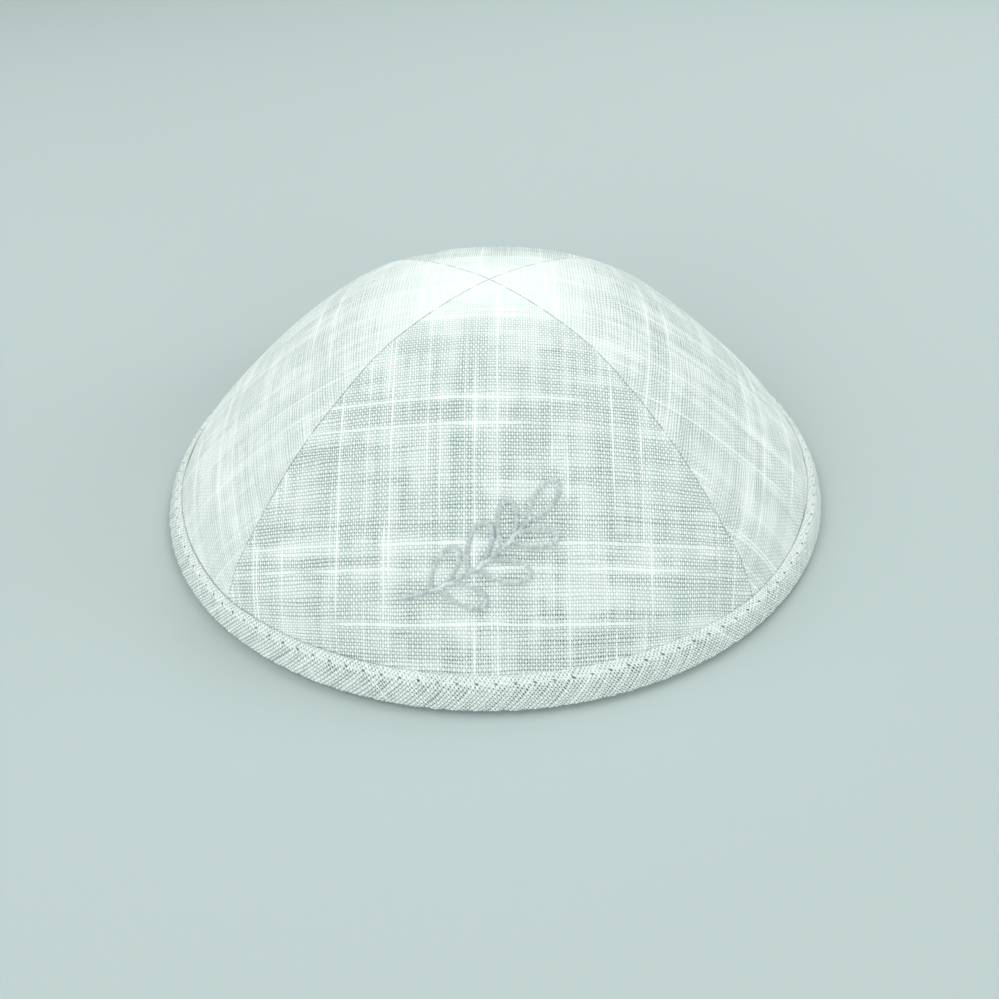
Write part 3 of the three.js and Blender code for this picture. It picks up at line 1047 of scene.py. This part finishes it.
@dataclass
class RimBinding:
    """The bias strip folded round the rim, with its stitched channel and its drag lines."""

    crown: Crown
    rise: float
    stitches: int = 131
    columns_per_stitch: int = 12
    outer: float = 1.41 * MM
    puff: float = 0.2 * MM
    pocket_outer: float = 0.2 * MM
    pocket_inner: float = -0.95 * MM
    inner: float = -2.2 * MM
    fold_drop: float = 0.65 * MM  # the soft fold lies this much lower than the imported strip's edge
    fold: float = 0.4 * MM  # radius of the upper fold
    foot_round: float = 0.35 * MM
    foot_lift: float = 0.8 * MM
    foot_set: float = 3.0 * MM  # how far behind its face the strip touches the table
    inner_round: float = 0.8 * MM
    pocket_floor: float = 0.9 * MM
    stitch_drop: float = 1.0 * MM  # from the fold down to the stitched line
    channel_half: float = 0.45 * MM
    channel_depth: float = 0.2 * MM
    prick_depth: float = 0.16 * MM
    drag_height: float = 0.09 * MM
    drag_lean: float = -0.85
    drag_start: float = 1.6 * MM  # how far below the stitched line a pull reaches its height
    drag_end: float = 1.2 * MM  # and how far above the table it starts to fade
    scallop: float = 0.14 * MM
    scallop_start: float = 0.6 * MM
    fray: float = 0.05 * MM
    fray_below: float = 0.3  # of the channel's depth, beyond which nothing frays
    fray_seed: int = 3
    even_share: float = 0.6
    uneven_waves: tuple[float, ...] = (1.9, 1.1, 0.7, 0.37, 0.21, 0.06)  # on a rim of radius 1
    uneven_seed: int = 5
    flat_size: tuple[float, float] = (0.022, 0.53)

    @property
    def stitch_height(self) -> float:
        """The height of the stitched line."""
        return self.rise - self.fold_drop - self.stitch_drop

    def section(self) -> Array:
        """The strip's section, from where it touches the table, over the fold and down inside.

        Returns:
            A closed line of offsets from the crown's face and heights above the table.
        """
        inner_fold = (self.pocket_inner - self.inner) / 2
        top = self.rise - self.fold_drop - self.fold
        inner_top = self.rise - self.fold_drop - inner_fold
        foot = (self.outer - self.foot_round, self.foot_lift + self.foot_round)
        parts = [
            line_between((self.outer - self.foot_set, 0.0), (foot[0], self.foot_lift), 3)[:-1],
            arc(foot, self.foot_round, -90, 0, 5),
            line_between((self.outer, foot[1]), (self.outer, self.stitch_height), 16)[1:],
            line_between((self.outer, self.stitch_height), (self.pocket_outer + 2 * self.fold, top), 4)[1:-1],
            arc((self.pocket_outer + self.fold, top), self.fold, 0, 180, 9),
            line_between((self.pocket_outer, top), (self.pocket_outer, self.pocket_floor), 3)[1:],
            line_between((self.pocket_inner, self.pocket_floor), (self.pocket_inner, inner_top), 3)[:-1],
            arc((self.pocket_inner - inner_fold, inner_top), inner_fold, 0, 180, 6),
            line_between((self.inner, inner_top), (self.inner, self.inner_round), 7)[1:-1],
            arc((self.inner + self.inner_round, self.inner_round), self.inner_round, 180, 270, 4),
        ]
        return np.vstack(parts)

    def relief(self, run: Array, height: Array, on_outer: Array) -> Array:
        """How far the strip's face stands out of or below its plain section.

        Args:
            run: the way round the rim, in metres.
            height: above the table.
            on_outer: 1 on the outer leg's face, 0 elsewhere.

        Returns:
            The distance outwards.
        """
        pitch = run[-1, 0] / self.stitches
        above = height - self.stitch_height
        near_hole = 0.5 + 0.5 * np.cos(FULL_TURN * run / pitch)
        channel = np.exp(-((above / self.channel_half) ** 2))
        prick = channel * near_hole**2
        turn = FULL_TURN * run / run[-1, 0]
        around = np.stack([np.cos(turn), np.sin(turn)], axis=-1)
        waves = ripples(around, self.uneven_waves, self.uneven_seed)
        uneven = self.even_share + (1 - self.even_share) * waves
        leg = np.clip(-above / self.drag_start, 0, 1) * np.clip(height / self.drag_end, 0, 1)
        drag = np.cos(FULL_TURN * (run + self.drag_lean * above) / pitch) * leg * uneven
        swell = self.puff * np.sin(math.pi * np.clip(height / self.stitch_height, 0, 1))
        lip = self.scallop * near_hole * uneven * np.clip(above / self.scallop_start, 0, 1)
        rng = np.random.default_rng(self.fray_seed)
        ragged = self.fray * rng.normal(size=(run.shape[0], 1)) * (channel < self.fray_below)
        ragged[-1] = ragged[0]
        pressed = self.channel_depth * channel + self.prick_depth * prick + lip
        return on_outer * (swell + self.drag_height * drag + ragged - pressed)

    def build(self, linen: BindingLinen) -> bpy.types.Object:
        """Builds and dresses the binding.

        Args:
            linen: its finish, whose stitch sizes are set to the binding's own.

        Returns:
            The binding.
        """
        section = self.section()
        sides = np.roll(section, -1, axis=0) - np.roll(section, 1, axis=0)
        normals = unit(np.stack([sides[:, 1], -sides[:, 0]], axis=-1))
        columns = self.stitches * self.columns_per_stitch
        azimuth, run = self.round_rim(columns)
        azimuth = azimuth[:, None]
        run = run[:, None] + 0 * section[None, :, 0]
        on_outer = (section[:, 0] > self.pocket_outer + self.fold / 2) & (section[:, 1] > self.foot_lift)
        relief = self.relief(run, section[None, :, 1] + 0 * run, on_outer.astype(float)[None])
        offset = section[None, :, 0] + relief * normals[None, :, 0]
        height = section[None, :, 1] + relief * normals[None, :, 1]
        points = self.set_off(azimuth, offset, height)
        around = run_length(np.vstack([section, section[:1]]))
        maps = {CLOTH_MAP: np.stack(np.broadcast_arrays(run[:, :1], around[None]), axis=-1)}
        line_at = int(np.argmin(np.abs(section - (self.outer, self.stitch_height)).sum(-1)))
        spacing = run[-1, 0] / self.stitches
        line = float(around[line_at])
        finish = replace(linen, stitch_spacing=spacing, stitch_line=line, drag_lean=self.drag_lean)
        piece = skin_mesh("binding_strip", points[:-1], maps, True)
        dress(piece, finish.material("bias_linen"), Slot.BIAS_LINEN, "rim_binding")
        return piece

    def set_off(self, azimuth: Array, offset: Array, height: Array) -> Array:
        """Points set off from the crown, level with the table, so as to stand square to the sloping cloth.

        Args:
            azimuth: their azimuths.
            offset: their distances from the crown's face.
            height: their heights above the table.

        Returns:
            The points.
        """
        azimuth, offset, height = np.broadcast_arrays(azimuth, offset, height)
        down = self.crown.down_at(height)
        level = np.stack([np.cos(azimuth), np.sin(azimuth), np.zeros_like(azimuth)], axis=-1)
        steep = (self.crown.outward(azimuth, down) * level).sum(-1)
        return self.crown.point(azimuth, down) + level * (offset / steep)[..., None]

    def round_rim(self, count: int) -> tuple[Array, Array]:
        """Equal steps round the rim along its stitched line, from the back.

        Args:
            count: the number of steps.

        Returns:
            The azimuths and the way round in metres, with the first place again at the end.
        """
        sweep = Side.BACK.azimuth + FULL_TURN * np.arange(4 * count + 1) / (4 * count)
        run = run_length(self.set_off(sweep, self.outer, self.stitch_height))
        even = np.linspace(0.0, run[-1], count + 1)
        return np.interp(even, run, sweep), even

    def stitched_line(self, points_per_stitch: int) -> tuple[Array, Array]:
        """The line that the topstitching follows, from the middle of one stitch and back to it.

        Args:
            points_per_stitch: an even number.

        Returns:
            The points, and the outward directions there.
        """
        azimuth = self.round_rim(self.stitches * points_per_stitch)[0]
        half = points_per_stitch // 2
        azimuth = np.append(azimuth[half:-1], azimuth[: half + 1] + FULL_TURN)
        points = self.set_off(azimuth, self.outer - self.channel_depth, self.stitch_height)
        return points, self.crown.outward(azimuth, self.crown.down_at(points[:, 2]))


def arc(centre: tuple[float, float], radius: float, start: float, end: float, count: int) -> Array:
    """Points of a circle's arc, from one angle in degrees to another."""
    turn = np.radians(np.linspace(start, end, count))
    return np.array(centre) + radius * np.stack([np.cos(turn), np.sin(turn)], axis=-1)


def line_between(start: tuple[float, float], end: tuple[float, float], count: int) -> Array:
    """Equally spaced points of a straight line, with both its ends."""
    return np.linspace(start, end, count)


@dataclass
class StitchedLine:
    """A line that stitches follow, with the cloth's outward direction at each point."""

    points: Array
    out: Array
    closed: bool


@dataclass
class StitchRow:
    """The sizes of a row of stitches."""

    spacing: float
    length: float
    crest: float
    dip: float
    thickness: float
    turn: float
    material: bpy.types.Material
    core: float = 0.01 * MM
    unevenness: float = 0.1
    seed: int = 0

    def inputs(self) -> dict[str, Any]:
        """The node tree's inputs by name."""
        return {size.name.capitalize(): getattr(self, size.name) for size in fields(self)}


class StitchTree(NodeTree):
    """The node tree that lays a stitch across or along a line, again and again."""

    SIZES = ("Spacing", "Length", "Crest", "Dip", "Thickness", "Turn", "Core", "Unevenness")
    STITCH_POINTS = 9
    THREAD_SIDES = 6
    CORE_SIDES = 8
    ROUNDING = 1.0001  # a little over 1, so that no root is taken of less than nothing
    LEAST_SHADE = 0.6

    def __init__(self) -> None:
        """Builds the tree."""
        super().__init__(bpy.data.node_groups.new("stitches", "GeometryNodeTree"))
        self.identifiers: dict[str, str] = {}
        self.socket("Line", "NodeSocketGeometry")
        for name in self.SIZES:
            self.socket(name, "NodeSocketFloat")
        self.socket("Seed", "NodeSocketInt")
        self.socket("Material", "NodeSocketMaterial")
        self.socket("Stitches", "NodeSocketGeometry", "OUTPUT")
        given = self.node("NodeGroupInput", {}, {})
        self.given = {name: self.value_of(given, name) for name in self.identifiers}
        self.build()

    def socket(self, name: str, kind: str, direction: str = "INPUT") -> None:
        """Adds a named input or output to the tree.

        Args:
            name: its name.
            kind: its type.
            direction: INPUT or OUTPUT.
        """
        made = self.tree.interface.new_socket(name, in_out=direction, socket_type=kind)
        if direction == "INPUT":
            self.identifiers[name] = made.identifier

    def out_of(
        self, kind: str, settings: Mapping[str, Any], inputs: Mapping[str | int, Any]
    ) -> bpy.types.NodeSocket:
        """Adds one node and gives its first output."""
        return self.node(kind, settings, inputs).outputs[0]

    def round_thread(self, line: Any, radius: Number, sides: int, caps: bool) -> bpy.types.NodeSocket:
        """A round thread along a line.

        Args:
            line: the line.
            radius: the thread's radius.
            sides: of its section.
            caps: True if its ends are closed.

        Returns:
            Its mesh.
        """
        section = self.out_of("GeometryNodeCurvePrimitiveCircle", {}, {"Resolution": sides, "Radius": radius})
        inputs = {"Curve": line, "Profile Curve": section, "Fill Caps": caps}
        return self.out_of("GeometryNodeCurveToMesh", {}, inputs)

    def build(self) -> None:
        """Adds the tree's nodes."""
        given = self.given
        curve = self.out_of("GeometryNodeMeshToCurve", {}, {0: given["Line"]})
        spacing = {0: curve, "Length": given["Spacing"]}
        rows = self.out_of(
            "GeometryNodeInstanceOnPoints",
            {},
            {
                "Points": self.out_of("GeometryNodeResampleCurve", {"mode": "LENGTH"}, spacing),
                "Instance": self.stitch(),
                "Rotation": self.heading(),
                "Scale": (self.any_share(2) - 0.5) * given["Unevenness"] + 1.0,
            },
        )
        # what lies under the stitches has no shade of its own, so it takes the darker colour, as painted shade
        # between the stitches
        shade = self.any_share(3) * (1.0 - self.LEAST_SHADE) + self.LEAST_SHADE
        tinted = self.out_of(
            "GeometryNodeStoreNamedAttribute",
            {"data_type": "FLOAT", "domain": "INSTANCE"},
            {"Geometry": rows, "Name": SHADE_ATTRIBUTE, "Value": shade},
        )
        joined = self.node("GeometryNodeJoinGeometry", {}, {0: tinted})
        core = self.round_thread(curve, given["Core"], self.CORE_SIDES, False)
        self.tree.links.new(core, joined.inputs[0])
        real = self.out_of("GeometryNodeRealizeInstances", {}, {0: joined.outputs[0]})
        smooth = self.out_of("GeometryNodeSetShadeSmooth", {}, {0: real})
        finish = {"Geometry": smooth, "Material": given["Material"]}
        self.node("NodeGroupOutput", {}, {0: self.out_of("GeometryNodeSetMaterial", {}, finish)})

    def stitch(self) -> bpy.types.NodeSocket:
        """One stitch: a thread that rises from the cloth to its crest and dips back.

        Returns:
            Its mesh.
        """
        given = self.given
        ends = [
            self.out_of("ShaderNodeCombineXYZ", {}, {0: given["Length"] * share}) for share in (-0.5, 0.5)
        ]
        line = self.out_of("GeometryNodeCurvePrimitiveLine", {}, {"Start": ends[0], "End": ends[1]})
        count = {0: line, "Count": self.STITCH_POINTS}
        points = self.out_of("GeometryNodeResampleCurve", {"mode": "COUNT"}, count)
        aside = self.value_of(self.node("GeometryNodeSplineParameter", {}, {}), "Factor") * 2.0 - 1.0
        crest = (self.ROUNDING - aside * aside).root()
        up = crest * (given["Crest"] + given["Dip"]) - given["Dip"]
        lift = self.out_of("ShaderNodeCombineXYZ", {}, {2: up})
        bowed = self.out_of("GeometryNodeSetPosition", {}, {0: points, "Offset": lift})
        return self.round_thread(bowed, given["Thickness"] * 0.5, self.THREAD_SIDES, True)

    def heading(self) -> bpy.types.NodeSocket:
        """Turns each stitch's back to the cloth, and the stitch from the line by the given angle.

        Returns:
            The rotation.
        """
        out = self.node(
            "GeometryNodeInputNamedAttribute", {"data_type": "FLOAT_VECTOR"}, {"Name": OUT_ATTRIBUTE}
        )
        tangent = self.out_of("GeometryNodeInputTangent", {}, {})
        axes = self.out_of(
            "FunctionNodeAxesToRotation",
            {"primary_axis": "Z", "secondary_axis": "X"},
            {0: out.outputs["Attribute"], 1: tangent},
        )
        swing = (self.any_share(1) - 0.5) * self.given["Unevenness"]
        turn = self.out_of("ShaderNodeCombineXYZ", {}, {2: self.given["Turn"] + swing})
        local = self.out_of("FunctionNodeEulerToRotation", {}, {0: turn})
        return self.out_of("FunctionNodeRotateRotation", {"rotation_space": "LOCAL"}, {0: axes, 1: local})

    def any_share(self, stream: int) -> Number:
        """A random share from 0 to 1 for each stitch.

        Args:
            stream: tells one use of it from another.

        Returns:
            The share.
        """
        seed = {"Seed": self.given["Seed"] + float(stream)}
        return self.value_of(self.node("FunctionNodeRandomValue", {"data_type": "FLOAT"}, seed), 1)

    def lay(self, name: str, lines: Sequence[StitchedLine], row: StitchRow) -> bpy.types.Object:
        """Lays stitches on lines and makes them one plain mesh.

        Args:
            name: the piece's name.
            lines: the lines.
            row: the stitches' sizes.

        Returns:
            The piece, in the scene.
        """
        edges = []
        start = 0
        for line in lines:
            count = len(line.points)
            edges += [(start + i, start + i + 1) for i in range(count - 1)]
            if line.closed:
                edges.append((start + count - 1, start))
            start += count
        guide = bpy.data.meshes.new(f"{name}_line")
        guide.from_pydata(np.vstack([line.points for line in lines]).tolist(), edges, [])
        outs = guide.attributes.new(OUT_ATTRIBUTE, "FLOAT_VECTOR", "POINT")
        outs.data.foreach_set("vector", np.vstack([line.out for line in lines]).astype(np.float32).ravel())
        carrier = placed(f"{name}_line", guide)
        modifier = carrier.modifiers.new("stitches", "NODES")
        modifier.node_group = self.tree
        for key, value in row.inputs().items():
            modifier[self.identifiers[key]] = value
        seen = carrier.evaluated_get(bpy.context.evaluated_depsgraph_get())
        mesh = bpy.data.meshes.new_from_object(seen)
        carrier.modifiers.remove(modifier)
        bpy.data.objects.remove(carrier)
        mesh.name = name
        return placed(name, mesh)


@dataclass
class Topstitching:
    """The row of machine stitches that holds the binding."""

    binding: RimBinding
    thread: Thread = Thread(rgba(244, 248, 246), rgba(205, 214, 210), 0.8, 0.1)
    thread_thickness: float = 0.2 * MM
    hole_room: float = 0.6 * MM  # of a stitch's spacing, what the needle's hole takes
    closeness: float = 0.9999  # a little under 1, so that rounding never drops the last stitch

    def build(self, tree: StitchTree) -> bpy.types.Object:
        """Builds and dresses the stitches.

        Args:
            tree: the node tree that lays them.

        Returns:
            The stitches.
        """
        points, out = self.binding.stitched_line(4)
        spacing = run_length(points)[-1] / self.binding.stitches
        row = StitchRow(
            spacing=spacing * self.closeness,
            length=spacing - self.hole_room,
            crest=0.04 * MM,
            dip=0.25 * MM,
            thickness=self.thread_thickness,
            turn=0.0,
            material=self.thread.material("topstitch_thread"),
            unevenness=0.06,
            seed=4,
        )
        piece = tree.lay("binding_topstitch", [StitchedLine(points, out, False)], row)
        dress(piece, None, Slot.BIAS_LINEN)
        return piece


@dataclass(frozen=True)
class Leaf:
    """One leaf of the sprig: its place as a share of the stem, its side of it, and its size as a share."""

    along: float
    side: int
    size: float


@dataclass
class Sprig:
    """The sprig in satin stitch on the front panel."""

    crown: Crown
    width: float = 34.0 * MM
    rise: float = 26.0 * MM
    tilt: float = math.radians(32)
    bow: float = 3.0 * MM
    leaf_length: float = 10.6 * MM
    leaf_breadth: float = 4.4 * MM
    leaf_taper: float = 0.18
    leaf_splay: float = math.radians(42)
    stem_points: int = 60
    leaf_points: int = 64
    lift: float = 0.2 * MM
    thread: Thread = Thread(rgba(236, 241, 241), rgba(126, 140, 142), 0.34, 0.1)
    leaves: tuple[Leaf, ...] = (
        Leaf(0.2, 1, 0.92),
        Leaf(0.26, -1, 0.92),
        Leaf(0.48, 1, 1.0),
        Leaf(0.54, -1, 1.0),
        Leaf(0.76, 1, 0.88),
        Leaf(0.82, -1, 0.88),
        Leaf(1.0, 0, 0.9),
    )

    def stem(self, share: Array) -> Array:
        """The stem's drawn points.

        Args:
            share: how far along its length they lie.

        Returns:
            The points, across and up from the sprig's centre.
        """
        last = self.leaf_length * self.leaves[-1].size
        length = self.width / math.cos(self.tilt) - last
        along = (share - 0.5) * length - last / 2
        sag = -self.bow * (1 - (2 * share - 1) ** 2)
        return turned(np.stack([along, sag], axis=-1), self.tilt)

    def leaf(self, leaf: Leaf, turn: Array) -> Array:
        """A leaf's drawn points.

        Args:
            leaf: the leaf.
            turn: the way round it, from 0 at its stalk to a full turn.

        Returns:
            The points, across and up from the sprig's centre.
        """
        along = self.leaf_length * leaf.size * (1 - np.cos(turn)) / 2
        fullest = 1 - self.leaf_taper * np.cos(turn)
        aside = self.leaf_breadth * leaf.size * np.sin(turn) * fullest / 2
        after = self.stem(np.array(leaf.along + self.crown.probe))
        ahead = after - self.stem(np.array(leaf.along - self.crown.probe))
        heading = math.atan2(ahead[1], ahead[0]) + leaf.side * self.leaf_splay
        return turned(np.stack([along, aside], axis=-1), heading) + self.stem(np.array(leaf.along))

    def laid(self, drawn: Array, closed: bool) -> StitchedLine:
        """Lays a drawn line on the front panel.

        Args:
            drawn: its points, across and up.
            closed: True if its end joins its start.

        Returns:
            The line on the cloth.
        """
        azimuth = np.array(Side.FRONT.azimuth)
        down = self.crown.down_at(np.array(self.rise))
        origin = self.crown.point(azimuth, down)
        out = self.crown.outward(azimuth, down)
        across = np.array([1.0, 0.0, 0.0])
        up = np.cross(out, across)
        start = origin + drawn[:, :1] * across + drawn[:, 1:] * up
        points = self.crown.below(start, out)
        normal = self.crown.normal_at(points)
        return StitchedLine(points + normal * self.lift, normal, closed)

    def build(self, tree: StitchTree) -> bpy.types.Object:
        """Builds and dresses the sprig.

        Args:
            tree: the node tree that lays its stitches.

        Returns:
            The sprig.
        """
        lines = [self.laid(self.stem(np.linspace(0, 1, self.stem_points)), False)]
        turn = np.linspace(0, FULL_TURN, self.leaf_points, endpoint=False)
        lines += [self.laid(self.leaf(leaf, turn), True) for leaf in self.leaves]
        row = StitchRow(
            spacing=0.27 * MM,
            length=1.0 * MM,
            crest=0.5 * MM,
            dip=0.14 * MM,
            thickness=0.2 * MM,
            turn=math.radians(68),
            material=self.thread.material("satin_thread"),
            core=0.22 * MM,
            unevenness=0.2,
            seed=9,
        )
        piece = tree.lay("sprig_satin", lines, row)
        dress(piece, None, Slot.SATIN_THREAD, "embroidered_sprig")
        return piece


def turned(points: Array, angle: float) -> Array:
    """Plane points turned about the origin."""
    cosine, sine = math.cos(angle), math.sin(angle)
    return points @ np.array([[cosine, sine], [-sine, cosine]])


@dataclass(frozen=True)
class Softbox:
    """A soft light: the direction in degrees that it shines from, and its power in watts."""

    azimuth: float
    elevation: float
    power: float


@dataclass
class Studio:
    """The camera, the light and the table."""

    camera_place: tuple[float, float, float] = (7.8 * MM, -216.8 * MM, 158.0 * MM)
    heading: float = math.radians(1.77)  # to the left of +Y
    pitch: float = math.radians(37.9)  # below the horizon
    roll: float = math.radians(1.45)
    lens: float = 36.07
    sensor: float = 36.0
    nearest: float = 0.01
    farthest: float = 50.0
    table_half: float = 4.0
    table_gap: float = 0.05 * MM
    daylight: tuple[float, ...] = rgba(236, 246, 245)
    surround: float = 0.12
    softbox_reach: float = 1.2
    softbox_size: float = 0.7
    softboxes: tuple[Softbox, ...] = (
        Softbox(azimuth=60, elevation=52, power=7.6),
        Softbox(azimuth=180, elevation=52, power=4.4),
        Softbox(azimuth=120, elevation=52, power=2.4),
        Softbox(azimuth=240, elevation=22, power=7.2),
        Softbox(azimuth=0, elevation=22, power=6.2),
        Softbox(azimuth=300, elevation=22, power=4.8),
        Softbox(azimuth=180, elevation=22, power=2.8),
    )

    def build_camera(self) -> None:
        """Puts the camera where the photograph was taken from."""
        data = bpy.data.cameras.new("camera")
        data.lens = self.lens
        data.sensor_width = self.sensor
        data.clip_start = self.nearest
        data.clip_end = self.farthest
        cosine = math.cos(self.pitch)
        sine = math.sin(self.pitch)
        ahead_x = -math.sin(self.heading)
        ahead_y = math.cos(self.heading)
        ahead = Vector((ahead_x * cosine, ahead_y * cosine, -sine))
        right = Vector((ahead_y, -ahead_x, 0.0))
        up = right.cross(ahead)
        screen_right = math.cos(self.roll) * right - math.sin(self.roll) * up
        screen_up = math.sin(self.roll) * right + math.cos(self.roll) * up
        axes = Matrix((screen_right, screen_up, -ahead)).transposed()
        camera = placed("camera", data)
        camera.matrix_world = Matrix.Translation(self.camera_place) @ axes.to_4x4()
        bpy.context.scene.camera = camera

    def build_table(self) -> None:
        """Lays the plain table under the cap."""
        signs = ((-1, -1), (1, -1), (1, 1), (-1, 1))
        corners = [(x * self.table_half, y * self.table_half, -self.table_gap) for x, y in signs]
        mesh = bpy.data.meshes.new("table")
        mesh.from_pydata(corners, [], [(0, 1, 2, 3)])
        mesh.materials.append(TableTop().material("table_top"))
        placed("table", mesh)

    def add_softbox(self, box: Softbox) -> None:
        """Hangs one soft light that faces the cap.

        Args:
            box: its direction and power.
        """
        data = bpy.data.lights.new("softbox", "AREA")
        data.shape = "SQUARE"
        data.size = self.softbox_size
        data.energy = box.power
        data.color = self.daylight[:3]
        azimuth = math.radians(box.azimuth)
        elevation = math.radians(box.elevation)
        level = math.cos(elevation)
        place = Vector((level * math.cos(azimuth), level * math.sin(azimuth), math.sin(elevation)))
        place *= self.softbox_reach
        light = placed("softbox", data)
        light.location = place
        light.rotation_mode = "QUATERNION"
        light.rotation_quaternion = (-place).to_track_quat("-Z", "Y")

    def build_light(self) -> None:
        """Lights the scene softly from all round, with a dim surround."""
        for box in self.softboxes:
            self.add_softbox(box)
        world = bpy.data.worlds.new("surround")
        world.use_nodes = True
        background = world.node_tree.nodes["Background"]
        background.inputs["Color"].default_value = self.daylight
        background.inputs["Strength"].default_value = self.surround
        bpy.context.scene.world = world
        bpy.context.scene.view_settings.view_transform = "Standard"

    def build(self) -> None:
        """Builds the camera, the table and the light."""
        self.build_camera()
        self.build_table()
        self.build_light()


def main() -> None:
    """Builds the cap, piece by piece."""
    logging.basicConfig(level=logging.INFO, format="%(name)s %(message)s")
    Studio().build()
    crown = Crown.of_frame()
    sizes = (crown.half_width, crown.half_length, crown.height)
    LOG.info("crown: half width %.5f, half length %.5f, height %.5f", *sizes)
    long_linen = PanelLinen(lighter_top_end=28.0 * MM).material("linen_front")
    linens = {
        Side.FRONT: long_linen,
        Side.BACK: long_linen,
        Side.RIGHT: PanelLinen(full_openness=0.88, slub_light=0.28).material("linen_right"),
        Side.LEFT: PanelLinen(full_openness=0.66, slub_light=0.28).material("linen_left"),
    }
    for side in Side:
        Panel(crown, side).build(linens[side])
    binding = RimBinding(crown, rise=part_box("rim_binding")[1].z)
    binding.build(BindingLinen())
    stitches = StitchTree()
    Topstitching(binding).build(stitches)
    Sprig(crown).build(stitches)


if __name__ == "__main__":
    main()
